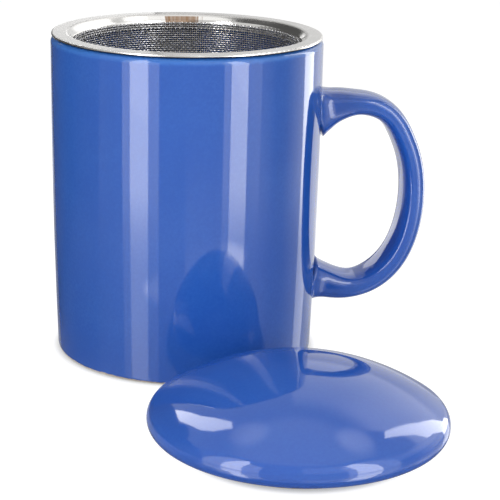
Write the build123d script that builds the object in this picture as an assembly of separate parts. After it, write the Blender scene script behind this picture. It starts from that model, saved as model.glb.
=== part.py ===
from build123d import *
import math
import os

# Straight-sided glazed tea mug with a lift-out wire-mesh infuser and a loose domed lid.
# Millimetres, +Z up. The origin is the centre of the mug's foot, on the table.
# The handle points to +X. The infuser hangs in the mug by its flange, and the lid lies
# right way up on the table in front of the mug, towards -Y.

# Mug body: a thrown wall on a thick floor, with a bare foot ring.
mug_height = 103.0
lip_radius = 43.35
base_taper = 1.5  # the wall stands this much further in at the foot than at the lip
straight_height = 15.0  # plain cylinder under the lip, above the slightly bowed wall
wall = 4.2
lip_outer_round = 2.2
lip_inner_round = 1.2
base_round = 1.6
well_round = 9.0  # inside corner between the wall and the floor
floor_thickness = 5.0
foot_width = 4.2
foot_recess = 2.4  # how far the underside is hollowed above the table
recess_round = 1.5

# Handle: a pulled strap, luted to the wall at two flared roots.
handle_reach = 32.1  # from the wall at the lip to the middle of the strap where it stands out most
handle_top = 80.25  # middle of the strap at its highest
handle_bottom = 19.6  # middle of the strap at its lowest
strap_thickness = 7.2
strap_width = 16.0
strap_round = 3.2
upper_root_height = 15.4
lower_root_height = 11.8
root_width = 16.8
root_embed = 6.0  # how far each root runs on into the wall before the wall is cut out of it

# Infuser: a pressed steel flange and collar, with a wire-cloth basket below.
sheet = 0.5
flange_setback = 0.3  # edge of the flange inside the edge of the lip
flange_width = 4.8
hem_thickness = 1.0  # the flange's edge is folded under, and its fold lies on the lip
hem_width = 3.2
hem_round = 0.45
funnel_width = 2.3  # the collar narrows by this much from the flange down to its throat
funnel_depth = 2.0
funnel_round = 1.2
skirt_depth = 2.6
cloth = 0.4  # woven wire cloth, two wires thick
cloth_setback = 0.8  # top edge of the cloth below the funnel
band_sheet = 0.4
band_setback = 0.4  # top edge of the band below the funnel
weld_gap = 0.05  # between layers that are spot-welded together
basket_depth = 75.0  # from the lip to the bottom of the hoop
seam_lap = 16.0  # width of the doubled cloth where the basket wall's ends overlap
seam_bearing = 90.0  # direction of the seam about +Z, in degrees from +X
seam_end_gap = 0.3  # between the doubled cloth and the band above it or the hoop below it
hoop_height = 3.4
hoop_sheet = 0.4
hoop_web_width = 3.0  # flange of the hoop, turned in under the cloth floor
hoop_round = 0.8
floor_clearance = 0.6  # cloth floor above the hoop's flange
floor_rim_height = 2.4  # upturned edge of the cloth floor
floor_bend_round = 0.8
floor_rise = 1.6  # crown of the cloth floor

# Lid: domed and as wide as the lip, with a locating ring that drops into the infuser's collar.
dome_rise = 16.35  # from the widest part of the lid to its top
dome_shoulder_round = 4.7
edge_under_round = 3.7  # the edge rolls under and rests on the flange's hem
lid_wall = 4.2
locating_ring_depth = 4.05
locating_ring_width = 5.2
locating_ring_draft = 3.0  # how much narrower the ring's outside is at its foot
locating_ring_clearance = 0.8  # between the locating ring and the collar's throat
locating_ring_round = 0.9
lid_gap = 6.0  # between the lid and the foot of the mug as they stand on the table
lid_bearing = -75.4  # direction from the mug to the lid about +Z, in degrees from +X

# Sizes that follow from those above.
base_radius = lip_radius - base_taper
well_radius = lip_radius - wall
well_base_radius = base_radius - wall
well_floor = foot_recess + floor_thickness
bow_top = mug_height - straight_height
flange_outer_radius = lip_radius - flange_setback
flange_inner_radius = flange_outer_radius - flange_width
throat_radius = flange_inner_radius - funnel_width  # inside of the collar, below its funnel
rim_top = mug_height + hem_thickness
funnel_bottom = rim_top - funnel_depth
skirt_bottom = funnel_bottom - skirt_depth
cloth_inner_radius = throat_radius + sheet + weld_gap
cloth_outer_radius = cloth_inner_radius + cloth
hoop_bottom = mug_height - basket_depth
hoop_top = hoop_bottom + hoop_height
basket_floor = hoop_bottom + hoop_sheet + floor_clearance
lid_radius = lip_radius
lid_widest_height = locating_ring_depth + edge_under_round
lid_distance = base_radius + lid_gap + lid_radius


def spun(section):
    # A section drawn in radius and height, turned about the mug's axis.
    return revolve(Plane.XZ * section, axis=Axis.Z)


def corner_of(outline, point):
    # The outline's vertex at a point.
    return outline.vertices().sort_by_distance((point[0], point[1], 0))[0]


def rounded(section, rounds):
    # Each entry of rounds is a corner of the section and the radius it gets.
    for point, radius in rounds:
        section = fillet(corner_of(section, point), radius)
    return section


def thickened(path, thickness, side):
    # The section of a sheet with one face on the path and its thickness on the given side.
    return make_face(offset(path, amount=thickness, side=side, closed=True))


def wall_line(top_radius, foot_radius, foot_level):
    # A face of the mug's wall from the lip down: straight, then bowed in slightly.
    bow_start = (top_radius, bow_top)
    bow = TangentArc(bow_start, (foot_radius, foot_level), tangent=(0, -1))
    return Line((top_radius, mug_height), bow_start) + bow


def make_mug_blank():
    # The mug without its well, which the handle is luted to.
    outline = wall_line(lip_radius, base_radius, 0)
    outline += Polyline((base_radius, 0), (0, 0), (0, mug_height), (lip_radius, mug_height))
    return spun(make_face(outline))


def make_mug_body():
    ring_inner_radius = base_radius - base_round - foot_width
    recess_edge = (ring_inner_radius - foot_recess, foot_recess)
    outline = wall_line(lip_radius, base_radius, 0)
    outline += Polyline((base_radius, 0), (ring_inner_radius, 0), recess_edge, (0, foot_recess))
    outline += Polyline((0, foot_recess), (0, well_floor), (well_base_radius, well_floor))
    outline += wall_line(well_radius, well_base_radius, well_floor)
    outline += Line((well_radius, mug_height), (lip_radius, mug_height))
    rounds = [
        ((lip_radius, mug_height), lip_outer_round),
        ((well_radius, mug_height), lip_inner_round),
        ((base_radius, 0), base_round),
        ((well_base_radius, well_floor), well_round),
        (recess_edge, recess_round),
    ]
    return spun(rounded(make_face(outline), rounds))


def strap_stations():
    # Stations along the strap from its upper root round to its lower root. Each has its place,
    # as shares of the handle's reach and of its height, and the strap's thickness and width there.
    height = handle_top - handle_bottom
    upper_neck = (upper_root_height + strap_thickness) / 2
    shares = [
        (-0.02, 0.956, upper_root_height, root_width),
        (0.105, 0.979, upper_neck, strap_width),
        (0.377, 1.0, strap_thickness, strap_width),
        (0.677, 0.954, strap_thickness, strap_width),
        (0.871, 0.815, strap_thickness, strap_width),
        (0.962, 0.686, strap_thickness, strap_width),
        (1.0, 0.545, strap_thickness, strap_width),
        (0.970, 0.337, strap_thickness, strap_width),
        (0.764, 0.104, strap_thickness, strap_width),
        (0.426, 0.0, strap_thickness, strap_width),
        (-0.039, 0.044, lower_root_height, root_width),
    ]
    stations = []
    for out, up, thickness, width in shares:
        middle = (lip_radius + out * handle_reach, 0, handle_bottom + up * height)
        stations.append((middle, thickness, width))
    return stations


def make_mug_handle():
    stations = strap_stations()
    path = Spline([middle for middle, thickness, width in stations])
    sections = []
    for middle, thickness, width in stations:
        across = Plane(origin=middle, x_dir=(0, 1, 0), z_dir=path.tangent_at(middle))
        sections.append(across * RectangleRounded(width, thickness, strap_round))
    strap = loft(sections)
    upper_root = extrude(sections[0], amount=-root_embed)
    lower_root = extrude(sections[-1], amount=root_embed)
    return strap + upper_root + lower_root - make_mug_blank()


def make_infuser_rim():
    # Flange, funnel and skirt in one pressing, with the flange's edge folded under as a hem.
    corners = [
        (throat_radius, skirt_bottom),
        (throat_radius, funnel_bottom),
        (flange_inner_radius, rim_top),
        (flange_outer_radius - hem_width / 2, rim_top),
    ]
    face_line = FilletPolyline(corners, radius=[funnel_round, funnel_round])
    section = thickened(face_line, sheet, Side.RIGHT)
    hem_middle = (flange_outer_radius - hem_width / 2, rim_top - hem_thickness / 2)
    section += Pos(*hem_middle) * RectangleRounded(hem_width, hem_thickness, hem_round)
    return spun(section)


def make_rim_band():
    # Outer band, spot-welded over the top edge of the wire cloth.
    corner = (cloth_outer_radius + weld_gap, skirt_bottom)
    height = skirt_depth - band_setback
    return spun(Pos(*corner) * Rectangle(band_sheet, height, align=(Align.MIN, Align.MIN)))


def cloth_lap():
    # The strip of doubled cloth at the seam, seen along the basket's axis.
    lap_angle = math.degrees(seam_lap / cloth_outer_radius)
    first_angle = seam_bearing - lap_angle / 2
    inner = CenterArc((0, 0), cloth_outer_radius, first_angle, lap_angle)
    outer = CenterArc((0, 0), cloth_outer_radius + cloth, first_angle, lap_angle)
    return make_face(inner + outer + Line(inner @ 0, outer @ 0) + Line(inner @ 1, outer @ 1))


def make_mesh_wall():
    # Rolled wire cloth. Its ends overlap in a seam that stops short of the band and the hoop.
    cloth_top = funnel_bottom - cloth_setback
    roll = Circle(cloth_outer_radius) - Circle(cloth_inner_radius)
    tube = Pos(0, 0, basket_floor) * extrude(roll, amount=cloth_top - basket_floor)
    lap_bottom = hoop_top + seam_end_gap
    lap_top = skirt_bottom - seam_end_gap
    return tube + Pos(0, 0, lap_bottom) * extrude(cloth_lap(), amount=lap_top - lap_bottom)


def make_mesh_floor():
    # Crowned disc of wire cloth, with its edge turned up against the inside of the basket wall.
    radius = cloth_inner_radius - weld_gap
    bend = (radius, basket_floor)
    crown = TangentArc((0, basket_floor + floor_rise), bend, tangent=(1, 0))
    path = crown + Line(bend, (radius, basket_floor + floor_rim_height))
    path = fillet(corner_of(path, bend), floor_bend_round)
    return spun(thickened(path, cloth, Side.LEFT))


def make_base_hoop():
    # Angle ring round the bottom of the basket, its flange turned in under the cloth floor.
    radius = cloth_outer_radius + weld_gap + hoop_sheet
    corners = [(radius, hoop_top), (radius, hoop_bottom), (radius - hoop_web_width, hoop_bottom)]
    return spun(thickened(FilletPolyline(corners, radius=hoop_round), hoop_sheet, Side.RIGHT))


def make_lid():
    top = lid_widest_height + dome_rise
    widest = (lid_radius, lid_widest_height)
    shoulder_centre = lid_radius - dome_shoulder_round
    dome_radius = shoulder_centre**2 + dome_rise**2 - dome_shoulder_round**2
    dome_radius /= 2 * (dome_rise - dome_shoulder_round)
    dome_centre = top - dome_radius
    share = dome_radius / (dome_radius - dome_shoulder_round)
    dome_edge = (share * shoulder_centre, dome_centre + share * (lid_widest_height - dome_centre))
    under_radius = dome_radius - lid_wall
    ring_outer = throat_radius - locating_ring_clearance
    ring_foot = ring_outer - locating_ring_draft
    ring_inner = ring_outer - locating_ring_width
    under_edge = (ring_inner, dome_centre + math.sqrt(under_radius**2 - ring_inner**2))
    outline = TangentArc((0, top), dome_edge, tangent=(1, 0))
    outline += TangentArc(widest, dome_edge, tangent=(0, 1))
    seat_edge = (lid_radius - edge_under_round, locating_ring_depth)
    outline += TangentArc(widest, seat_edge, tangent=(0, -1))
    outline += Polyline(seat_edge, (ring_outer, locating_ring_depth), (ring_foot, 0))
    outline += Polyline((ring_foot, 0), (ring_inner, 0), under_edge)
    outline += TangentArc((0, dome_centre + under_radius), under_edge, tangent=(1, 0))
    outline += Line((0, dome_centre + under_radius), (0, top))
    rounds = [
        ((ring_foot, 0), locating_ring_round),
        ((ring_inner, 0), locating_ring_round),
        (under_edge, locating_ring_round),
    ]
    return spun(rounded(make_face(outline), rounds))


def lid_place():
    bearing = math.radians(lid_bearing)
    return Pos(lid_distance * math.cos(bearing), lid_distance * math.sin(bearing), 0)


pieces = {
    "mug_body": make_mug_body(),
    "mug_handle": make_mug_handle(),
    "infuser_rim": make_infuser_rim(),
    "rim_band": make_rim_band(),
    "mesh_wall": make_mesh_wall(),
    "mesh_floor": make_mesh_floor(),
    "base_hoop": make_base_hoop(),
    "lid": lid_place() * make_lid(),
}

os.makedirs("parts", exist_ok=True)
for name, piece in pieces.items():
    export_step(piece, f"parts/{name}.step")
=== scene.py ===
import math

import bmesh
import bpy
import numpy as np
from mathutils import Matrix, Vector


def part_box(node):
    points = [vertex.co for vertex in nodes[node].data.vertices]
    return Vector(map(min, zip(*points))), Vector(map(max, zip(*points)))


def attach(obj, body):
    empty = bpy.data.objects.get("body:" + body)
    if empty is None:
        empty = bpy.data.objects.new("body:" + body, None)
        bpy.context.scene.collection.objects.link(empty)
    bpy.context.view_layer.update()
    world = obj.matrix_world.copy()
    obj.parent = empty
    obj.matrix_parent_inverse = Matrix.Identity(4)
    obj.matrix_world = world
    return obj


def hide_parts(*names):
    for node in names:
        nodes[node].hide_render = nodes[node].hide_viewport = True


# Glazed tea mug with a lift-out wire infuser, its lid lying in front of it.
# Metres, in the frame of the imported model. mm turns the sizes below into metres.
mm = 0.001

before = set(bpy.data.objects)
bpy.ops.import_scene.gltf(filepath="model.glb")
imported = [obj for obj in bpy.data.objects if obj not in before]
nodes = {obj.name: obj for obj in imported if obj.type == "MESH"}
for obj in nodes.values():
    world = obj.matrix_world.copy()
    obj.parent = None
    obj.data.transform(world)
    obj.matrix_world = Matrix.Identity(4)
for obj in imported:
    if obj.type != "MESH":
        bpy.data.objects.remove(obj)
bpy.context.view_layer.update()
print("frame loaded:", len(nodes), "nodes")


# Helpers for objects and shader nodes.
def addObject(name, data):
    thing = bpy.data.objects.new(name, data)
    bpy.context.scene.collection.objects.link(thing)
    return thing


def emptyMaterial(name):
    material = bpy.data.materials.new(name)
    material.use_nodes = True
    tree = material.node_tree
    tree.nodes.clear()
    return material, tree, tree.nodes.new("ShaderNodeOutputMaterial")


def newMaterial(name):
    material, tree, output = emptyMaterial(name)
    shader = tree.nodes.new("ShaderNodeBsdfPrincipled")
    tree.links.new(shader.outputs["BSDF"], output.inputs["Surface"])
    return material, tree, shader


def newGroup(name, inputs, outputs):
    group = bpy.data.node_groups.new(name, "ShaderNodeTree")
    for label, kind, value in inputs:
        socket = group.interface.new_socket(label, in_out="INPUT", socket_type="NodeSocket" + kind)
        socket.default_value = value
    for label, kind in outputs:
        group.interface.new_socket(label, in_out="OUTPUT", socket_type="NodeSocket" + kind)
    return group, group.nodes.new("NodeGroupInput"), group.nodes.new("NodeGroupOutput")


def useGroup(tree, group, values):
    node = tree.nodes.new("ShaderNodeGroup")
    node.node_tree = group
    for label, value in values.items():
        setInput(tree, node.inputs[label], value)
    return node


def setInput(tree, socket, value):
    if isinstance(value, bpy.types.NodeSocket):
        tree.links.new(value, socket)
    else:
        socket.default_value = value


def maths(tree, operation, *values, clamp=False):
    node = tree.nodes.new("ShaderNodeMath")
    node.operation = operation
    node.use_clamp = clamp
    for socket, value in zip(node.inputs, values):
        setInput(tree, socket, value)
    return node.outputs[0]


def remap(tree, value, low, high, toLow=0.0, toHigh=1.0, smooth=True):
    node = tree.nodes.new("ShaderNodeMapRange")
    node.interpolation_type = "SMOOTHSTEP" if smooth else "LINEAR"
    for label, given in (("Value", value), ("From Min", low), ("From Max", high),
                         ("To Min", toLow), ("To Max", toHigh)):
        setInput(tree, node.inputs[label], given)
    return node.outputs["Result"]


def mixColour(tree, share, first, second):
    node = tree.nodes.new("ShaderNodeMix")
    node.data_type = "RGBA"
    setInput(tree, node.inputs["Factor"], share)
    setInput(tree, node.inputs[6], first)
    setInput(tree, node.inputs[7], second)
    return node.outputs[2]


def mixValue(tree, share, first, second):
    node = tree.nodes.new("ShaderNodeMix")
    for label, given in (("Factor", share), ("A", first), ("B", second)):
        setInput(tree, node.inputs[label], given)
    return node.outputs["Result"]


def blendShaders(tree, share, first, second):
    node = tree.nodes.new("ShaderNodeMixShader")
    setInput(tree, node.inputs[0], share)
    tree.links.new(first.outputs[0], node.inputs[1])
    tree.links.new(second.outputs[0], node.inputs[2])
    return node


def noise(tree, place, scale, detail=2.0, roughness=0.5):
    node = tree.nodes.new("ShaderNodeTexNoise")
    setInput(tree, node.inputs["Vector"], place)
    setInput(tree, node.inputs["Scale"], scale)
    setInput(tree, node.inputs["Detail"], detail)
    setInput(tree, node.inputs["Roughness"], roughness)
    return node.outputs["Fac"]


def objectPlace(tree):
    return tree.nodes.new("ShaderNodeTexCoord").outputs["Object"]


def splitPlace(tree, place):
    node = tree.nodes.new("ShaderNodeSeparateXYZ")
    tree.links.new(place, node.inputs[0])
    return node.outputs


def outFrom(tree, x, y):
    # How far x, y lies from the middle.
    return maths(tree, "SQRT", maths(tree, "ADD", maths(tree, "MULTIPLY", x, x),
                                     maths(tree, "MULTIPLY", y, y)))


def bumpInto(tree, shader, height, distance):
    bump = tree.nodes.new("ShaderNodeBump")
    setInput(tree, bump.inputs["Height"], height)
    bump.inputs["Distance"].default_value = distance
    tree.links.new(bump.outputs["Normal"], shader.inputs["Normal"])


def grey(level):
    return (level, level, level, 1.0)


def wearMaterial(piece, material):
    piece.data.materials.clear()
    piece.data.materials.append(material)


# The room is turned about the mug's axis, so that the handle points a little to the rear of it.
roomTurn = Matrix.Rotation(math.radians(-6.5), 4, "Z")

viewPoint = {
    "distance": 522.0 * mm,  # in front of the mug's axis
    "height": 187.6 * mm,
    "pan": 0.0410,  # radians, to the right
    "tilt": 0.2896,  # radians, down
    "roll": 0.0227,
    "lens": 118.7,
    "sensor": 36.0,
    "clipStart": 0.01,
    "clipEnd": 20.0,
}


def makeCamera(place):
    pan, tilt, roll = place["pan"], place["tilt"], place["roll"]
    level = Vector((math.cos(pan), -math.sin(pan), 0))
    forward = Vector((math.sin(pan), math.cos(pan), 0))
    ahead = math.cos(tilt) * forward - math.sin(tilt) * Vector((0, 0, 1))
    upright = level.cross(ahead)
    side = math.cos(roll) * level + math.sin(roll) * upright
    top = math.cos(roll) * upright - math.sin(roll) * level
    data = bpy.data.cameras.new("camera")
    data.sensor_width = place["sensor"]
    data.lens = place["lens"]
    data.clip_start = place["clipStart"]
    data.clip_end = place["clipEnd"]
    camera = addObject("camera", data)
    turn = Matrix((side, top, -ahead)).transposed()
    spot = Matrix.Translation((0, -place["distance"], place["height"]))
    camera.matrix_world = roomTurn @ spot @ turn.to_4x4()
    bpy.context.scene.camera = camera


makeCamera(viewPoint)
print("camera placed")


# Glaze over stoneware, and the bare clay under the foot.
glazeLook = {
    "deep": (0.0182, 0.092, 0.420, 1.0),
    # A lighter copy of the mug's glaze for the lid: painted light on the lid's upturned face.
    "lidDeepLit": (0.029, 0.106, 0.475, 1.0),
    "thin": (0.045, 0.180, 0.570, 1.0),  # where the glaze runs thin, on edges
    # The lip's band of thin glaze: lighter by real thinning, and partly painted light under the
    # flange's dark fold.
    "lipThinningAndLift": 0.75,
    "cloudScale": 38.0,
    "cloudShare": 0.16,  # how much of the thin colour shows in the clouds
    "mottleScale": 1100.0,
    "mottleShare": 0.09,
    "speck": (0.004, 0.030, 0.200, 1.0),
    "speckScale": 2600.0,
    "speckShare": 0.10,
    "gloss": 0.045,
    "smearScale": 55.0,
    "smearRoughness": 0.03,
    "slowWave": 70.0,
    "quickWave": 420.0,
    "quickShare": 0.06,
    "waveHeight": 0.02 * mm,
    "refraction": 1.5,
}
clayLook = {
    "pale": (0.640, 0.560, 0.450, 1.0),
    "patch": (0.50, 0.41, 0.31, 1.0),
    "grain": (0.25, 0.19, 0.14, 1.0),
    "roughness": 0.75,
    "edgeWobble": 0.25 * mm,
    "edgeSoftness": 0.08 * mm,
    "wobbleScale": 240.0,
    "grainScale": 5200.0,
    "grainShare": 0.5,
    "patchScale": 160.0,
}


def makeGlazeGroup():
    group, given, made = newGroup(
        "glazeSurface",
        [("Deep", "Color", glazeLook["deep"]), ("Thin", "Color", glazeLook["thin"]),
         ("Thinness", "Float", 0.0), ("Cloud Scale", "Float", glazeLook["cloudScale"]),
         ("Gloss", "Float", glazeLook["gloss"])],
        [("Colour", "Color"), ("Roughness", "Float"), ("Height", "Float")],
    )
    place = objectPlace(group)
    cloud = noise(group, place, given.outputs["Cloud Scale"], detail=3.0)
    cloudy = remap(group, cloud, 0.3, 0.75, 0.0, glazeLook["cloudShare"])
    mottle = noise(group, place, glazeLook["mottleScale"], detail=2.0, roughness=0.6)
    mottled = remap(group, mottle, 0.32, 0.68, -glazeLook["mottleShare"], glazeLook["mottleShare"],
                    smooth=False)
    share = maths(group, "ADD", given.outputs["Thinness"], maths(group, "ADD", cloudy, mottled),
                  clamp=True)
    colour = mixColour(group, share, given.outputs["Deep"], given.outputs["Thin"])
    fine = noise(group, place, glazeLook["speckScale"], detail=1.0)
    speck = remap(group, fine, 0.70, 0.80, 0.0, glazeLook["speckShare"])
    colour = mixColour(group, speck, colour, glazeLook["speck"])
    smear = noise(group, place, glazeLook["smearScale"], detail=4.0, roughness=0.6)
    rough = remap(group, smear, 0.35, 0.75, 0.0, glazeLook["smearRoughness"])
    group.links.new(maths(group, "ADD", given.outputs["Gloss"], rough), made.inputs["Roughness"])
    group.links.new(colour, made.inputs["Colour"])
    slow = noise(group, place, glazeLook["slowWave"], detail=1.0)
    quick = noise(group, place, glazeLook["quickWave"], detail=0.0)
    height = maths(group, "ADD", slow, maths(group, "MULTIPLY", quick, glazeLook["quickShare"]))
    group.links.new(height, made.inputs["Height"])
    return group


def makeClayGroup():
    group, given, made = newGroup(
        "bareClay",
        [("Level", "Float", 1.0 * mm), ("Colour", "Color", clayLook["pale"])],
        [("Mask", "Float"), ("Colour", "Color"), ("Height", "Float")],
    )
    place = objectPlace(group)
    wobble = noise(group, place, clayLook["wobbleScale"], detail=3.0)
    wobble = remap(group, wobble, 0.2, 0.8, -clayLook["edgeWobble"], clayLook["edgeWobble"])
    edge = maths(group, "ADD", splitPlace(group, place)["Z"], wobble)
    low = maths(group, "SUBTRACT", given.outputs["Level"], clayLook["edgeSoftness"])
    mask = remap(group, edge, low, given.outputs["Level"], 1.0, 0.0)
    grain = noise(group, place, clayLook["grainScale"], detail=2.0)
    patch = noise(group, place, clayLook["patchScale"], detail=3.0)
    patched = remap(group, patch, 0.3, 0.7)
    grainy = remap(group, grain, 0.62, 0.74, 0.0, clayLook["grainShare"])
    tone = mixColour(group, patched, given.outputs["Colour"], clayLook["patch"])
    tone = mixColour(group, grainy, tone, clayLook["grain"])
    group.links.new(mask, made.inputs["Mask"])
    group.links.new(tone, made.inputs["Colour"])
    group.links.new(grain, made.inputs["Height"])
    return group


glazeSurface = makeGlazeGroup()
bareClay = makeClayGroup()


def makeGlaze(name, deep, thinAbove, thinOver, clayLevel):
    # The glaze thins from thinAbove up, over the stretch thinOver, which makes it lighter; on the
    # mug this band also serves as painted light that lightens the glaze below the flange's dark
    # fold. Below clayLevel it is wiped off.
    material, tree, shader = newMaterial(name)
    place = objectPlace(tree)
    up = splitPlace(tree, place)["Z"]
    thinness = remap(tree, up, thinAbove, thinAbove + thinOver, 0.0, glazeLook["lipThinningAndLift"])
    glaze = useGroup(tree, glazeSurface, {
        "Deep": deep, "Thin": glazeLook["thin"], "Thinness": thinness,
        "Cloud Scale": glazeLook["cloudScale"], "Gloss": glazeLook["gloss"],
    })
    clay = useGroup(tree, bareClay, {"Level": clayLevel, "Colour": clayLook["pale"]})
    mask = clay.outputs["Mask"]
    colour = mixColour(tree, mask, glaze.outputs["Colour"], clay.outputs["Colour"])
    rough = mixValue(tree, mask, glaze.outputs["Roughness"], clayLook["roughness"])
    height = mixValue(tree, mask, glaze.outputs["Height"], clay.outputs["Height"])
    tree.links.new(colour, shader.inputs["Base Color"])
    tree.links.new(rough, shader.inputs["Roughness"])
    shader.inputs["IOR"].default_value = glazeLook["refraction"]
    bumpInto(tree, shader, height, glazeLook["waveHeight"])
    return material


mugLow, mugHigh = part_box("mug_body")
lidLow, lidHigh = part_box("lid")
mugGlaze = makeGlaze("mugGlaze", glazeLook["deep"], thinAbove=mugHigh.z - 2.6 * mm,
                     thinOver=1.6 * mm, clayLevel=0.9 * mm)
lidGlaze = makeGlaze("lidGlaze", glazeLook["lidDeepLit"], thinAbove=lidHigh.z + 1.0 * mm,
                     thinOver=1.0 * mm, clayLevel=0.5 * mm)
wearMaterial(nodes["mug_body"], mugGlaze)
wearMaterial(nodes["lid"], lidGlaze)
print("mug and lid glazed")


# Steel of the infuser, with fine marks from spinning and drawing.
steelLook = {
    "base": (0.57, 0.56, 0.545, 1.0),
    "dull": (0.48, 0.47, 0.455, 1.0),
    "bright": (0.68, 0.67, 0.65, 1.0),
    "heatTint": (0.22, 0.125, 0.065, 1.0),  # on the collar over the cloth's seam
    "heatBearing": 87.0,  # degrees
    "heatWidth": 11.0,  # to each side of that, with a soft and uneven edge
    "heatEdge": 3.5,
    "heatWander": 2.0,
    "satin": 0.26,
    "satinAbove": 0.2 * mm,  # below the flange's top, as is the next one
    "polished": 0.10,
    "polishedBelow": 0.9 * mm,
    # The light wire colour stands for the glint on the wires' crowns, a painted highlight;
    # wireDipShade is painted shade where they dip behind.
    "wire": (0.95, 0.95, 0.97, 1.0),
    "wireDipShade": (0.30, 0.30, 0.32, 1.0),
    "wireToneScale": 900.0,
    "wireRoughness": (0.18, 0.34),
    "fold": (0.035, 0.04, 0.06, 1.0),  # painted shade on the underside of the flange's fold, in the dark of the seam
    "foldDepth": 0.70 * mm,
    "foldWidth": 1.2 * mm,
    "blotchScale": 90.0,
    "marksAcross": 9000.0,
    "marksAround": 1.4,
    "rimMarks": 0.004 * mm,  # depth
    "bandMarks": 0.003 * mm,
    "drawnAround": 42.0,  # the collar's drawing marks, and how much deeper they are
    "drawnUp": 60.0,
    "drawnDepth": 5.0,
}


def makeBrushGroup():
    # Fine marks that run round the axis of the infuser, with broader uneven bands.
    group, given, made = newGroup(
        "spunMetal",
        [("Light", "Color", steelLook["base"]), ("Dark", "Color", steelLook["dull"]),
         ("Roughness", "Float", 0.25), ("Spread", "Float", 0.08)],
        [("Colour", "Color"), ("Roughness", "Float"), ("Height", "Float")],
    )
    place = objectPlace(group)
    part = splitPlace(group, place)
    angle = maths(group, "ARCTAN2", part["Y"], part["X"])
    away = outFrom(group, part["X"], part["Y"])
    join = group.nodes.new("ShaderNodeCombineXYZ")
    for label, value, scale in (("X", away, steelLook["marksAcross"]),
                                ("Y", angle, steelLook["marksAround"]),
                                ("Z", part["Z"], steelLook["marksAcross"])):
        group.links.new(maths(group, "MULTIPLY", value, scale), join.inputs[label])
    marks = noise(group, join.outputs[0], 1.0, detail=3.0, roughness=0.7)
    blotch = noise(group, place, steelLook["blotchScale"], detail=3.0)
    tone = maths(group, "MULTIPLY", marks, blotch)
    share = remap(group, tone, 0.15, 0.40)
    group.links.new(mixColour(group, share, given.outputs["Dark"], given.outputs["Light"]),
                    made.inputs["Colour"])
    rough = maths(group, "MULTIPLY", maths(group, "SUBTRACT", blotch, 0.5), given.outputs["Spread"])
    rough = maths(group, "ADD", given.outputs["Roughness"], rough)
    group.links.new(rough, made.inputs["Roughness"])
    group.links.new(marks, made.inputs["Height"])
    return group


spunMetal = makeBrushGroup()


def makeSteel(name, roughness, spread, depth):
    material, tree, shader = newMaterial(name)
    spun = useGroup(tree, spunMetal, {
        "Light": steelLook["base"], "Dark": steelLook["dull"], "Roughness": roughness,
        "Spread": spread,
    })
    tree.links.new(spun.outputs["Colour"], shader.inputs["Base Color"])
    tree.links.new(spun.outputs["Roughness"], shader.inputs["Roughness"])
    shader.inputs["Metallic"].default_value = 1.0
    bumpInto(tree, shader, spun.outputs["Height"], depth)
    return material


def makeRimSteel():
    # Satin on the flange and the fold, polished on the collar, which also has drawing marks. The
    # fold's underside has a painted shade.
    material, tree, shader = newMaterial("rimSteel")
    place = objectPlace(tree)
    part = splitPlace(tree, place)
    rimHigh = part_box("infuser_rim")[1]
    flat = remap(tree, part["Z"], rimHigh.z - steelLook["polishedBelow"],
                 rimHigh.z - steelLook["satinAbove"])
    spun = useGroup(tree, spunMetal, {
        "Light": steelLook["base"], "Dark": steelLook["dull"],
        "Roughness": mixValue(tree, flat, steelLook["polished"], steelLook["satin"]),
        "Spread": 0.10,
    })
    angle = maths(tree, "ARCTAN2", part["Y"], part["X"])
    join = tree.nodes.new("ShaderNodeCombineXYZ")
    tree.links.new(maths(tree, "MULTIPLY", angle, steelLook["drawnAround"]), join.inputs["X"])
    tree.links.new(maths(tree, "MULTIPLY", part["Z"], steelLook["drawnUp"]), join.inputs["Y"])
    drawn = noise(tree, join.outputs[0], 1.0, detail=4.0, roughness=0.65)
    height = mixValue(tree, flat, maths(tree, "MULTIPLY", drawn, steelLook["drawnDepth"]),
                      spun.outputs["Height"])
    away = maths(tree, "SUBTRACT", maths(tree, "DEGREES", angle), steelLook["heatBearing"])
    away = maths(tree, "ADD", maths(tree, "ABSOLUTE", away),
                 remap(tree, drawn, 0.3, 0.7, -steelLook["heatWander"], steelLook["heatWander"]))
    edge = steelLook["heatWidth"]
    clean = remap(tree, away, edge - steelLook["heatEdge"], edge)
    burnt = maths(tree, "SUBTRACT", remap(tree, drawn, 0.3, 0.7, 1.0, 0.7), clean, clamp=True)
    burnt = maths(tree, "MULTIPLY", burnt, remap(tree, flat, 0.0, 0.6, 1.0, 0.0))
    bright = mixColour(tree, flat, steelLook["bright"], spun.outputs["Colour"])
    colour = mixColour(tree, burnt, bright, steelLook["heatTint"])
    # Painted shade: the underside of the fold, in the dark of the seam, is coloured near black.
    foldTop, foldInside = rimHigh.z - steelLook["foldDepth"], rimHigh.x - steelLook["foldWidth"]
    under = remap(tree, part["Z"], foldTop, foldTop + 0.2 * mm, 1.0, 0.0)
    atEdge = remap(tree, outFrom(tree, part["X"], part["Y"]), foldInside, foldInside + 0.3 * mm)
    colour = mixColour(tree, maths(tree, "MULTIPLY", under, atEdge), colour, steelLook["fold"])
    tree.links.new(colour, shader.inputs["Base Color"])
    tree.links.new(spun.outputs["Roughness"], shader.inputs["Roughness"])
    shader.inputs["Metallic"].default_value = 1.0
    bumpInto(tree, shader, height, steelLook["rimMarks"])
    return material


rimSteel = makeRimSteel()
bandSteel = makeSteel("bandSteel", roughness=0.20, spread=0.10, depth=steelLook["bandMarks"])
wearMaterial(nodes["infuser_rim"], rimSteel)
wearMaterial(nodes["rim_band"], bandSteel)
wearMaterial(nodes["base_hoop"], bandSteel)
print("steel on the rim, band and hoop")


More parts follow.
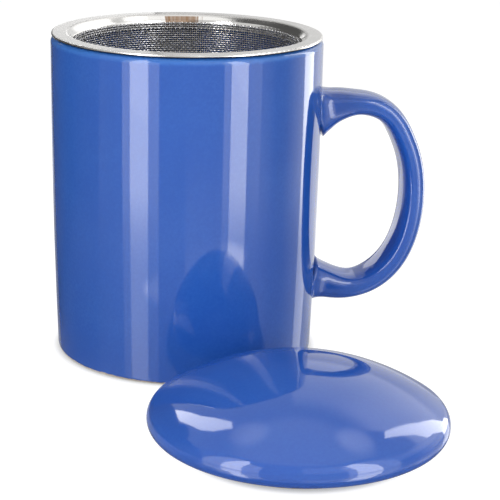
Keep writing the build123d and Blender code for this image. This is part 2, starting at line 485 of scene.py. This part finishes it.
# The handle, luted to the wall.
handleShape = {
    "thickness": 7.2 * mm,
    "width": 16.0 * mm,
    "squareness": 3.0,  # 2 is an oval section, more is nearer to a rectangle
    "rootWidth": 16.8 * mm,
    "upperRoot": 15.4 * mm,
    "lowerRoot": 11.8 * mm,
    "luteLength": 5.0 * mm,  # the worked-in joint: how far it runs out along the strap
    "luteSwell": 1.9 * mm,  # and how much it widens the strap at the wall
    "sunk": 1.4 * mm,  # how far the mesh runs on into the wall
    "wallTaper": 1.5 * mm,
    "wallBow": 88.0 * mm,  # height below which the wall bows in
    "thicknessEase": 1.6 * mm,  # how far each change of size is spread along the strap
    "widthEase": 2.5 * mm,
    "rows": 170,
    "rootRows": 60,  # closer rows near each root
    "rootRowsReach": 7.0 * mm,
    "around": 88,
    "crowding": 0.18,  # points of the section drawn together towards its ends
}
# The strap's middle line in the X-Z plane, as shares of its reach and height, with its thickness.
strapLine = [
    (-0.02, 0.956, "upperRoot"), (0.105, 0.979, "upperNeck"), (0.377, 1.0, "thickness"),
    (0.677, 0.954, "thickness"), (0.871, 0.815, "thickness"), (0.962, 0.686, "thickness"),
    (1.0, 0.545, "thickness"), (0.970, 0.337, "thickness"), (0.764, 0.104, "thickness"),
    (0.426, 0.0, "thickness"), (-0.039, 0.044, "lowerRoot"),
]


def splineThrough(stops, values, at):
    # Natural cubic spline through values at the stops.
    count = len(stops)
    gap = np.diff(stops)
    matrix = np.eye(count)
    right = np.zeros((count, values.shape[1]))
    for i in range(1, count - 1):
        matrix[i, i - 1] = gap[i - 1]
        matrix[i, i] = 2 * (gap[i - 1] + gap[i])
        matrix[i, i + 1] = gap[i]
        right[i] = 3 * ((values[i + 1] - values[i]) / gap[i]
                        - (values[i] - values[i - 1]) / gap[i - 1])
    bend = np.linalg.solve(matrix, right)
    span = np.clip(np.searchsorted(stops, at, side="right") - 1, 0, count - 2)
    local = (at - stops[span])[:, None]
    width = gap[span][:, None]
    slope = ((values[span + 1] - values[span]) / width
             - width * (2 * bend[span] + bend[span + 1]) / 3)
    curve = (bend[span + 1] - bend[span]) / (3 * width)
    return values[span] + local * (slope + local * (bend[span] + local * curve))


def strapSection(width, thickness, shape):
    # Points round a section between an oval and a rectangle.
    turn = np.linspace(0, 2 * math.pi, shape["around"], endpoint=False)
    turn = turn - shape["crowding"] * np.sin(2 * turn)
    power = 2 / shape["squareness"]
    x = width / 2 * np.sign(np.cos(turn)) * np.abs(np.cos(turn)) ** power
    y = thickness / 2 * np.sign(np.sin(turn)) * np.abs(np.sin(turn)) ** power
    return x, y


def softened(values, at, spread):
    # Gaussian mean along the strap, so that no station shows as a kink.
    weight = np.exp(-0.5 * ((at[:, None] - at[None, :]) / spread) ** 2)
    weight *= np.gradient(at)[None, :]
    return (weight @ values) / weight.sum(axis=1)


def fixNormals(mesh):
    shell = bmesh.new()
    shell.from_mesh(mesh)
    bmesh.ops.recalc_face_normals(shell, faces=shell.faces)
    shell.to_mesh(mesh)
    shell.free()


def makeHandle(shape, line):
    low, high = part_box("mug_handle")
    lipRadius = mugHigh.x
    reach = high.x - shape["thickness"] / 2 - lipRadius
    top = high.z - shape["thickness"] / 2
    bottom = low.z + shape["thickness"] / 2
    sizes = dict(shape, upperNeck=(shape["upperRoot"] + shape["thickness"]) / 2)
    middle = np.array([(lipRadius + out * reach, bottom + up * (top - bottom))
                       for out, up, size in line])
    thick = np.array([sizes[size] for out, up, size in line])
    wide = np.full(len(line), shape["width"])
    wide[0] = wide[-1] = shape["rootWidth"]
    stops = np.concatenate([[0], np.cumsum(np.linalg.norm(np.diff(middle, axis=0), axis=1))])
    total = stops[-1]
    near = shape["rootRowsReach"]
    fineRows = np.linspace(0, near, shape["rootRows"], endpoint=False)
    at = np.concatenate([fineRows, np.linspace(near, total - near, shape["rows"]),
                         (total - fineRows)[::-1]])
    centre = splineThrough(stops, middle, at)
    tangent = np.gradient(centre, at, axis=0)
    tangent /= np.linalg.norm(tangent, axis=1)[:, None]
    thickness = softened(np.interp(at, stops, thick), at, shape["thicknessEase"])
    width = softened(np.interp(at, stops, wide), at, shape["widthEase"])
    # One more row at each end, inside the wall.
    centre = np.vstack([centre[0] - tangent[0] * shape["sunk"], centre,
                        centre[-1] + tangent[-1] * shape["sunk"]])
    tangent = np.vstack([tangent[0], tangent, tangent[-1]])
    thickness = np.concatenate([thickness[:1], thickness, thickness[-1:]])
    width = np.concatenate([width[:1], width, width[-1:]])
    rows, around = len(centre), shape["around"]
    points = np.zeros((rows, around, 3))
    for row in range(rows):
        (x, z), (dx, dz) = centre[row], tangent[row]
        across, outward = strapSection(width[row], thickness[row], shape)
        spots = np.stack([x - dz * outward, across, z + dx * outward], axis=1)
        push = spots - np.array([x, 0, z])
        # The section's own normals, so that the joint swells evenly all round.
        ends = np.roll(spots, -1, axis=0) - np.roll(spots, 1, axis=0)
        normal = np.cross(ends, np.array([dx, 0, dz]))
        normal *= np.sign((normal * push).sum(axis=1))[:, None]
        normal /= np.linalg.norm(normal, axis=1)[:, None]
        bow = np.clip((shape["wallBow"] - spots[:, 2]) / shape["wallBow"], 0, 1) ** 2
        outside = np.hypot(spots[:, 0], spots[:, 1]) - (lipRadius - shape["wallTaper"] * bow)
        share = 1 - np.clip(outside / shape["luteLength"], 0, 1)
        swell = shape["luteSwell"] * (1 - np.sqrt(1 - share**2))
        points[row] = spots + normal * swell[:, None]
    faces = [(r * around + c, r * around + (c + 1) % around,
              (r + 1) * around + (c + 1) % around, (r + 1) * around + c)
             for r in range(rows - 1) for c in range(around)]
    faces.append(tuple(range(around - 1, -1, -1)))
    faces.append(tuple((rows - 1) * around + c for c in range(around)))
    mesh = bpy.data.meshes.new("mugHandle")
    mesh.from_pydata([tuple(p) for p in points.reshape(-1, 3)], [], faces)
    mesh.shade_smooth()
    fixNormals(mesh)
    handle = addObject("mugHandle", mesh)
    wearMaterial(handle, mugGlaze)
    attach(handle, "mug")
    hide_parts("mug_handle")


makeHandle(handleShape, strapLine)
print("handle built")


# The basket's wire cloth, every wire of its own.
clothShape = {
    "pitch": 0.72 * mm,
    "wire": 0.29 * mm,
    "sides": 4,
    "seamBearing": math.radians(90.0),
    "seamLap": 16.0 * mm,
    "seamGap": 0.3 * mm,  # between the lap and the band over it, and the hoop under it
    "floorRise": 1.6 * mm,
    "floorEdge": 2.4 * mm,  # height of the floor's turned-up edge
    "floorBend": 0.8 * mm,
    "facingInset": 0.98 * mm,  # the strip of cloth that lines the collar's skirt
    "facingTop": 2.35 * mm,  # below the flange
}


def makeWireMaterial(name, wallRadius, wire):
    material, tree, shader = newMaterial(name)
    place = objectPlace(tree)
    tone = noise(tree, place, steelLook["wireToneScale"], detail=2.0)
    colour = mixColour(tree, remap(tree, tone, 0.35, 0.65), steelLook["wire"], steelLook["dull"])
    # Painted highlight and shade: rolled wires are coloured bright where they pass over to the
    # inside, as the glint on their crowns, and dark where they dip behind, as shade.
    part = splitPlace(tree, place)
    away = outFrom(tree, part["X"], part["Y"])
    dipShade = remap(tree, away, wallRadius - 0.6 * wire, wallRadius + 0.3 * wire)
    colour = mixColour(tree, dipShade, colour, steelLook["wireDipShade"])
    tree.links.new(colour, shader.inputs["Base Color"])
    rough = remap(tree, tone, 0.3, 0.7, *steelLook["wireRoughness"])
    tree.links.new(rough, shader.inputs["Roughness"])
    shader.inputs["Metallic"].default_value = 1.0
    return material


def tubes(paths, normals, radius, sides, closed):
    # Vertices and faces of thin tubes along paths. paths and normals: (wires, points, 3).
    wires, count = paths.shape[:2]
    if closed:
        tangent = np.roll(paths, -1, axis=1) - np.roll(paths, 1, axis=1)
    else:
        tangent = np.gradient(paths, axis=1)
    tangent /= np.linalg.norm(tangent, axis=2, keepdims=True)
    side = np.cross(tangent, normals)
    side /= np.linalg.norm(side, axis=2, keepdims=True)
    outer = np.cross(side, tangent)
    turn = 2 * math.pi * np.arange(sides) / sides
    ring = (np.cos(turn)[:, None] * side[:, :, None, :]
            + np.sin(turn)[:, None] * outer[:, :, None, :])
    vertices = (paths[:, :, None, :] + radius * ring).reshape(-1, 3)
    last = count if closed else count - 1
    w, p, s = np.meshgrid(np.arange(wires), np.arange(last), np.arange(sides), indexing="ij")
    w, p, s = w.ravel(), p.ravel(), s.ravel()
    after, beside = (p + 1) % count, (s + 1) % sides

    def index(point, corner):
        return (w * count + point) * sides + corner

    faces = np.stack([index(p, s), index(p, beside), index(after, beside), index(after, s)], axis=1)
    return vertices, faces


def wirePiece(name, parts, material, flatPlace):
    vertices = np.concatenate([v for v, f in parts])
    shift, faces = 0, []
    for v, f in parts:
        faces.append(f + shift)
        shift += len(v)
    faces = np.concatenate(faces)
    mesh = bpy.data.meshes.new(name)
    mesh.vertices.add(len(vertices))
    mesh.vertices.foreach_set("co", vertices.astype(np.float32).ravel())
    mesh.loops.add(faces.size)
    mesh.loops.foreach_set("vertex_index", faces.astype(np.int32).ravel())
    mesh.polygons.add(len(faces))
    mesh.polygons.foreach_set("loop_start", np.arange(0, faces.size, 4, dtype=np.int32))
    mesh.update(calc_edges=True)
    mesh.shade_smooth()
    # Laid flat once, as the cloth was before it was rolled or pressed.
    flat = mesh.uv_layers.new(name="OFBake")
    flat.data.foreach_set("uv", flatPlace(vertices)[faces.ravel()].astype(np.float32).ravel())
    piece = addObject(name, mesh)
    wearMaterial(piece, material)
    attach(piece, "infuser")
    return piece


def rolledCloth(shape, radius, low, high, first, last):
    # Upright wires and rings of a rolled plain weave between two angles; a full turn closes it.
    closed = last - first > 2 * math.pi - 1e-6
    pitchCount = int(round((last - first) * radius / shape["pitch"]))
    pitchCount += pitchCount % 2
    angles = first + (last - first) * np.arange(pitchCount + (not closed)) / pitchCount
    rings = int((high - low) / shape["pitch"])
    levels = low + (np.arange(rings) + 0.5) * (high - low) / rings
    swing = shape["wire"] / 2
    sign = (-1.0) ** (np.arange(len(angles))[:, None] + np.arange(rings)[None, :])
    outward = np.stack([np.cos(angles), np.sin(angles), np.zeros_like(angles)], axis=1)
    up = np.array([0.0, 0.0, 1.0])
    # Upright wires, with a straight end above and below the outer rings.
    ends = np.concatenate([[low], levels, [high]])
    bend = np.concatenate([np.zeros((len(angles), 1)), sign, np.zeros((len(angles), 1))], axis=1)
    upright = (radius + swing * bend)[:, :, None] * outward[:, None, :] + ends[None, :, None] * up
    uprightOut = np.repeat(outward[:, None, :], len(ends), axis=1)
    ringPaths = (radius - swing * sign.T)[:, :, None] * outward[None, :, :]
    ringPaths = ringPaths + levels[:, None, None] * up
    ringOut = np.repeat(outward[None, :, :], rings, axis=0)
    half = len(angles) // 2
    sides, thin = shape["sides"], shape["wire"] / 2
    uprights = [tubes(upright[:half], uprightOut[:half], thin, sides, False),
                tubes(upright[half:], uprightOut[half:], thin, sides, False)]
    middle = rings // 2
    hoops = [tubes(ringPaths[:middle], ringOut[:middle], thin, sides, closed),
             tubes(ringPaths[middle:], ringOut[middle:], thin, sides, closed)]
    return uprights, hoops


def makeBasket(shape):
    wallLow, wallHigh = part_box("mesh_wall")
    outerRadius = -wallLow.x
    radius = outerRadius - shape["wire"]
    material = makeWireMaterial("wireSteel", radius, shape["wire"])
    height = wallHigh.z - wallLow.z

    def unrolled(vertices):
        turn = np.arctan2(vertices[:, 1], vertices[:, 0]) / (2 * math.pi) + 0.5
        return np.stack([turn, (vertices[:, 2] - wallLow.z) / height], axis=1).clip(0, 1)

    uprights, hoops = rolledCloth(shape, radius, wallLow.z, wallHigh.z, 0.0, 2 * math.pi)
    names = ["clothUprightsFirst", "clothUprightsSecond", "clothRingsLower", "clothRingsUpper"]
    pieces = [wirePiece(name, [part], material, unrolled)
              for name, part in zip(names, uprights + hoops)]
    # The lap: the cloth's other end, lying on the outside of the first layer.
    lapTurn = shape["seamLap"] / outerRadius
    lapStart = shape["seamBearing"] - lapTurn / 2
    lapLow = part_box("base_hoop")[1].z + shape["seamGap"]
    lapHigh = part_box("rim_band")[0].z - shape["seamGap"]
    lapUp, lapHoops = rolledCloth(shape, outerRadius + shape["wire"], lapLow, lapHigh,
                                  lapStart, lapStart + lapTurn)
    wirePiece("clothLap", lapUp + lapHoops, material, unrolled)
    # The lining of the collar's skirt.
    rimLow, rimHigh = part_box("infuser_rim")
    facingRadius = radius - shape["facingInset"]
    faceUp, faceHoops = rolledCloth(shape, facingRadius, rimLow.z, rimHigh.z - shape["facingTop"],
                                    0.0, 2 * math.pi)
    facingMaterial = makeWireMaterial("facingSteel", facingRadius, shape["wire"])
    wirePiece("clothFacing", faceUp + faceHoops, facingMaterial, unrolled)
    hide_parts("mesh_wall")
    return material


def makeBasketFloor(shape, material):
    low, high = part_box("mesh_floor")
    radius, level = high.x, low.z
    rise, bendRadius = shape["floorRise"], shape["floorBend"]
    halfCloth = shape["wire"]
    flatRadius = radius - bendRadius
    arc = bendRadius * math.pi / 2
    reach = flatRadius + arc + (shape["floorEdge"] - bendRadius)
    swing = shape["wire"] / 2

    def formed(x, y, offset):
        # From the flat cloth to the crowned floor with its edge turned up.
        out = np.hypot(x, y)
        away = np.stack([x, y], axis=-1) / np.maximum(out, 1e-9)[..., None]
        crown = level + halfCloth + rise * (1 - (np.minimum(out, flatRadius) / flatRadius) ** 2)
        lean = np.clip((out - flatRadius) / bendRadius, 0, math.pi / 2)
        straight = np.clip(out - flatRadius - arc, 0, None)
        inner = bendRadius - halfCloth
        r = np.minimum(out, flatRadius) + inner * np.sin(lean)
        z = crown + inner * (1 - np.cos(lean)) + straight
        slope = np.where(out < flatRadius, -2 * rise * out / flatRadius**2,
                         np.tan(np.minimum(lean, 1.5)))
        tilt = np.arctan(slope)
        normalOut, normalUp = -np.sin(tilt), np.cos(tilt)
        r = r + offset * normalOut
        z = z + offset * normalUp
        place = np.concatenate([away * r[..., None], z[..., None]], axis=-1)
        normal = np.concatenate([away * normalOut[..., None], normalUp[..., None]], axis=-1)
        return place, normal

    count = int(2 * reach / shape["pitch"])
    lines = (np.arange(count) - (count - 1) / 2) * shape["pitch"]
    parts = []
    for turned in (0, 1):
        for i, fixed in enumerate(lines):
            along = lines[np.abs(lines) <= math.sqrt(max(reach**2 - fixed**2, 0))]
            if len(along) < 3:
                continue
            j = np.round(along / shape["pitch"] + (count - 1) / 2).astype(int)
            sign = (-1.0) ** (i + j + turned)
            across = np.full_like(along, fixed)
            x, y = (across, along) if turned else (along, across)
            place, normal = formed(x, y, swing * sign)
            parts.append(tubes(place[None], normal[None], shape["wire"] / 2, shape["sides"], False))

    def fromAbove(vertices):
        return (vertices[:, :2] / (2 * radius) + 0.5).clip(0, 1)

    floor = wirePiece("clothFloor", parts, material, fromAbove)
    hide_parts("mesh_floor")


wireSteel = makeBasket(clothShape)
makeBasketFloor(clothShape, wireSteel)
print("basket woven")


# The table, and what it shows to the camera and in the reflections.
studio = {
    "tableRadius": 2.4,
    "tableEdges": 96,
    "tableColour": grey(0.80),
    "shadowGrey": 0.42,  # the table's level where a piece stands on it
    "shadowReach": 2.7 * mm,
    "shadowSpan": (0.25, 0.97),  # share of open sky over a spot, from dark to light
    "shadowSamples": 12,
    "openLevel": 0.96,  # its level in the open, to which openLight adds what the lamps give
    "openLight": 0.22,
    "mirrorNear": 0.30,  # the table's polish close to the mug, and far off at a low angle
    "mirrorFar": 0.90,
    "mirrorSpan": (140 * mm, 290 * mm),
    "polishRoughness": 0.10,
    "nearGlow": 0.45,  # the table's glow close to the mug, as a share of that further off: painted shade in the reflections
    "glowSpan": (50 * mm, 200 * mm),
    "frontEdge": (-115 * mm, -95 * mm),  # in front of this the table is polished round the lid
    "frontSpan": (85 * mm, 115 * mm),
    "lidEdge": (46 * mm, 52 * mm),  # under the lid it is dull and dark: a painted shadow of the lid in the reflections
    "lidGlow": 0.3,
}

# Brightness of the walls round the table, by bearing: degrees from the front to the right, and
# level.
wallLight = [
    (-180, 0.10), (-112, 0.15), (-96, 0.40), (-77, 0.60), (-62, 0.70), (-34, 1.50), (-20, 1.10),
    (25, 1.10), (56, 1.75), (68, 1.60), (80, 0.74), (92, 0.76), (103, 1.50), (113, 2.10),
    (122, 2.20), (136, 1.95), (146, 1.85), (158, 1.25), (180, 1.00),
]
# The same for the table's own glow in the reflections.
tableLight = [
    (-180, 0.95), (-159, 0.95), (-155, 0.12), (-112, 0.15), (-96, 0.40), (-77, 0.60),
    (-62, 0.70), (-34, 1.50), (-20, 1.10), (25, 1.10), (50, 0.85), (80, 0.35), (100, 0.42),
    (125, 1.20), (145, 1.20), (180, 0.90),
]
# How high the walls stand, by bearing: degrees, and degrees over the horizon. On the left their
# top is sharp, on the right it is soft.
wallTop = [
    (-180, 0), (-158, 14), (-151, 25), (-142, 37), (-133, 44), (-98, 42), (-84, 30), (-75, 4),
    (-1, 0), (1, 56), (90, 56), (97, 36), (126, 36), (133, 56), (179, 56), (180, 0),
]
# Soft light on the ceiling over the rear panels: direction, and how much brighter.
ceilingGlow = [((-0.264, 0.309, 0.914), 1.3), ((0.36, 0.25, 0.90), 2.0)]
ceilingGlowEdge = 0.989  # cosine of how far it spreads
roomLight = {
    "colour": grey(0.80),
    "toCamera": 1.25,  # makes the colour white
    "diffuse": 0.13,  # what the room gives to dull surfaces, low down and overhead
    "diffuseOverhead": 0.60,
    "diffuseSpan": (25.0, 80.0),  # degrees over the horizon, as is every span here
    "ceiling": 1.70,
    "upperWall": 1.05,
    "ceilingSpan": (62.0, 70.0),
    "rightLift": 0.75,  # added to the upper part of the right wall
    "rightLiftSpan": (13.0, 19.0),
    "sharpTop": (-0.5, 0.7),  # degrees about the walls' top
    "softTop": (-6.0, 6.0),
}


def levelByBearing(tree, across, towards, stops):
    away = maths(tree, "MULTIPLY", towards, -1.0)
    bearing = maths(tree, "DEGREES", maths(tree, "ARCTAN2", across, away))
    brightest = max(level for angle, level in stops)
    ramp = tree.nodes.new("ShaderNodeValToRGB")
    tree.links.new(remap(tree, bearing, -180.0, 180.0, smooth=False), ramp.inputs[0])
    elements = ramp.color_ramp.elements
    elements[0].position, elements[1].position = 0.0, 1.0
    elements[0].color = grey(stops[0][1] / brightest)
    elements[1].color = grey(stops[-1][1] / brightest)
    for angle, level in stops[1:-1]:
        elements.new((angle + 180) / 360).color = grey(level / brightest)
    return maths(tree, "MULTIPLY", ramp.outputs["Color"], brightest)


def makeTable(look, stops):
    lidSpot = (roomTurn.inverted() @ ((lidLow + lidHigh) / 2)).xy
    mesh = bpy.data.meshes.new("table")
    radius, count = look["tableRadius"], look["tableEdges"]
    turns = [2 * math.pi * i / count for i in range(count)]
    mesh.from_pydata([(radius * math.cos(turn), radius * math.sin(turn), 0) for turn in turns],
                     [], [tuple(range(count))])
    table = addObject("table", mesh)
    table.matrix_world = roomTurn
    material, tree, output = emptyMaterial("table")
    path = tree.nodes.new("ShaderNodeLightPath")
    part = splitPlace(tree, objectPlace(tree))
    # To the camera: white, grey only close to what stands on it.
    openness = tree.nodes.new("ShaderNodeAmbientOcclusion")
    openness.samples = look["shadowSamples"]
    openness.inputs["Distance"].default_value = look["shadowReach"]
    glow = tree.nodes.new("ShaderNodeEmission")
    lit = remap(tree, openness.outputs["AO"], *look["shadowSpan"], look["shadowGrey"],
                look["openLevel"], smooth=False)
    tree.links.new(lit, glow.inputs["Strength"])
    pale = tree.nodes.new("ShaderNodeBsdfDiffuse")
    pale.inputs["Color"].default_value = grey(look["openLight"])
    seen = tree.nodes.new("ShaderNodeAddShader")
    tree.links.new(pale.outputs[0], seen.inputs[0])
    tree.links.new(glow.outputs[0], seen.inputs[1])
    # In reflections: a polished top, which mirrors more at the low angles of its far side.
    mirrored = tree.nodes.new("ShaderNodeEmission")
    shine = tree.nodes.new("ShaderNodeBsdfGlossy")
    shine.inputs["Color"].default_value = grey(1.0)
    shine.inputs["Roughness"].default_value = look["polishRoughness"]
    reach = outFrom(tree, part["X"], part["Y"])
    polish = remap(tree, reach, *look["mirrorSpan"], look["mirrorNear"], look["mirrorFar"])
    fromLid = outFrom(tree, *[maths(tree, "SUBTRACT", part[axis], spot)
                              for axis, spot in zip("XY", lidSpot)])
    inFront = maths(tree, "MULTIPLY",
                    remap(tree, part["Y"], *look["frontEdge"], look["mirrorFar"], 0.0),
                    remap(tree, fromLid, *look["frontSpan"], 1.0, 0.0))
    clear = remap(tree, fromLid, *look["lidEdge"])
    polish = maths(tree, "MULTIPLY", maths(tree, "MAXIMUM", polish, inFront), clear)
    # Painted shade in the reflections: the glow is dimmer close to the mug and under the lid.
    glowing = maths(tree, "MULTIPLY", levelByBearing(tree, part["X"], part["Y"], stops),
                    remap(tree, reach, *look["glowSpan"], look["nearGlow"], 1.0))
    glowing = maths(tree, "MULTIPLY", glowing, remap(tree, clear, 0.0, 1.0, look["lidGlow"], 1.0))
    tree.links.new(glowing, mirrored.inputs["Strength"])
    polished = blendShaders(tree, polish, mirrored, shine)
    # For the light that it throws back: plain white.
    white = tree.nodes.new("ShaderNodeBsdfDiffuse")
    white.inputs["Color"].default_value = look["tableColour"]
    whole = blendShaders(tree, path.outputs["Is Glossy Ray"], white, polished)
    whole = blendShaders(tree, path.outputs["Is Camera Ray"], whole, seen)
    tree.links.new(whole.outputs[0], output.inputs["Surface"])
    mesh.materials.append(material)


def makeRoom(look, stops, tops):
    world = bpy.data.worlds.new("room")
    bpy.context.scene.world = world
    world.use_nodes = True
    tree = world.node_tree
    tree.nodes.clear()
    output = tree.nodes.new("ShaderNodeOutputWorld")
    shade = tree.nodes.new("ShaderNodeBackground")
    shade.inputs["Color"].default_value = look["colour"]
    tree.links.new(shade.outputs[0], output.inputs[0])
    turned = tree.nodes.new("ShaderNodeMapping")
    turned.inputs["Rotation"].default_value = roomTurn.inverted().to_euler()
    ahead = tree.nodes.new("ShaderNodeTexCoord").outputs["Generated"]
    tree.links.new(ahead, turned.inputs["Vector"])
    part = splitPlace(tree, turned.outputs[0])
    wall = levelByBearing(tree, part["X"], part["Y"], stops)
    height = maths(tree, "DEGREES", maths(tree, "ARCSINE", part["Z"]))
    above = remap(tree, height, *look["ceilingSpan"], look["upperWall"], look["ceiling"])
    over = maths(tree, "SUBTRACT", height, levelByBearing(tree, part["X"], part["Y"], tops))
    onLeft = maths(tree, "LESS_THAN", part["X"], 0.0)
    lift = maths(tree, "MULTIPLY", maths(tree, "SUBTRACT", 1.0, onLeft),
                 remap(tree, height, *look["rightLiftSpan"], 0.0, look["rightLift"]))
    wall = maths(tree, "ADD", wall, lift)
    overTop = mixValue(tree, onLeft, remap(tree, over, *look["softTop"]),
                       remap(tree, over, *look["sharpTop"]))
    seen = mixValue(tree, overTop, wall, above)
    for direction, lighter in ceilingGlow:
        nearness = tree.nodes.new("ShaderNodeVectorMath")
        nearness.operation = "DOT_PRODUCT"
        tree.links.new(turned.outputs[0], nearness.inputs[0])
        nearness.inputs[1].default_value = Vector(direction).normalized()
        spot = remap(tree, nearness.outputs["Value"], ceilingGlowEdge, 1.0, 0.0, lighter)
        seen = maths(tree, "ADD", seen, spot)
    path = tree.nodes.new("ShaderNodeLightPath")
    spread = remap(tree, height, *look["diffuseSpan"], look["diffuse"], look["diffuseOverhead"])
    strength = mixValue(tree, path.outputs["Is Glossy Ray"], spread, seen)
    strength = mixValue(tree, path.outputs["Is Camera Ray"], strength, look["toCamera"])
    tree.links.new(strength, shade.inputs["Strength"])


# What the glaze and the steel mirror: panels with their brightness and their corners in mm.
# Each shows only on its side towards the mug's axis.
mirroredPanels = [
    ("leftStrip", 8.7, [(-336, -326, 0), (-205, -355, 0), (-212, -352, 340), (-336, -326, 760)]),
    ("leftOuterPanel", 2.8, [(-215, -176, 0), (-330, -322, 0), (-330, -322, 700),
                             (-215, -176, 440)]),
    ("leftInnerPanel", 2.7, [(-208, -362, 0), (-188, -472, 0), (-188, -472, 320),
                             (-214, -358, 340)]),
    ("rightStrip", 8.4, [(363, -509, 0), (353, -300, 0), (353, -300, 600), (363, -509, 600)]),
    ("rightInnerPanel", 2.8, [(285, -500, 0), (358, -512, 0), (358, -512, 560), (285, -500, 480)]),
    ("rightOuterPanel", 2.2, [(356, -296, 0), (380, -205, 0), (380, -205, 560), (356, -296, 600)]),
    ("darkSheet", 0.10, [(-12, 44, 110), (-12, 175, 110), (-12, 175, 175), (-12, 44, 190)]),
    ("rearPanel", 2.2, [(-75, 271, 0), (-12, 296, 0), (-12, 296, 140), (-75, 271, 140)]),
    ("rearLeftPanel", 7.0, [(-180, 214, 188), (-205, 196, 340), (-205, 196, 570), (-233, 176, 640),
                            (-262, 156, 510), (-258, 158, 410), (-221, 185, 259)]),
    ("rearRightPanel", 7.0, [(268, 200, 0), (272, 196, 100), (304, 168, 224), (341, 135, 460),
                             (370, 109, 510), (351, 126, 344), (338, 138, 240), (350, 130, 90),
                             (347, 132, 0)]),
]
# What lights the colours: middle of the foot and of the top in mm, width in mm, and brightness.
colourBoxes = [
    ("leftKey", (-228, -292, 0), (-228, -292, 570), 116, 6.2),
    ("rightKey", (339, -356, 0), (339, -356, 570), 132, 6.8),
    ("rearFill", (60, 420, 60), (60, 480, 560), 360, 2.2),
]


def makePanel(name, level, corners):
    mesh = bpy.data.meshes.new(name)
    mesh.from_pydata([Vector(corner) * mm for corner in corners], [], [tuple(range(len(corners)))])
    if mesh.polygons[0].normal.dot(mesh.polygons[0].center) > 0:
        mesh.flip_normals()
    material, tree, output = emptyMaterial(name)
    glow = tree.nodes.new("ShaderNodeEmission")
    glow.inputs["Strength"].default_value = level
    behind = tree.nodes.new("ShaderNodeNewGeometry").outputs["Backfacing"]
    sided = blendShaders(tree, behind, glow, tree.nodes.new("ShaderNodeBsdfTransparent"))
    tree.links.new(sided.outputs[0], output.inputs["Surface"])
    mesh.materials.append(material)
    panel = addObject(name, mesh)
    panel.matrix_world = roomTurn
    panel.visible_camera = panel.visible_diffuse = panel.visible_shadow = False


def makeSoftbox(name, foot, top, width, level):
    foot, top = Vector(foot) * mm, Vector(top) * mm
    up = (top - foot).normalized()
    centre = (foot + top) / 2
    back = centre - Vector((0, 0, centre.z))
    back -= back.dot(up) * up
    back.normalize()
    right = up.cross(back)
    data = bpy.data.lights.new(name, "AREA")
    data.shape = "RECTANGLE"
    data.size, data.size_y = width * mm, (top - foot).length
    data.energy = level * math.pi * data.size * data.size_y
    lamp = addObject(name, data)
    turn = Matrix((right, up, back)).transposed().to_4x4()
    lamp.matrix_world = roomTurn @ Matrix.Translation(centre) @ turn
    lamp.visible_camera = lamp.visible_glossy = False


makeTable(studio, tableLight)
makeRoom(roomLight, wallLight, wallTop)
for panel in mirroredPanels:
    makePanel(*panel)
for box in colourBoxes:
    makeSoftbox(*box)
bpy.context.scene.view_settings.view_transform = "Standard"
print("room, panels and lamps placed")
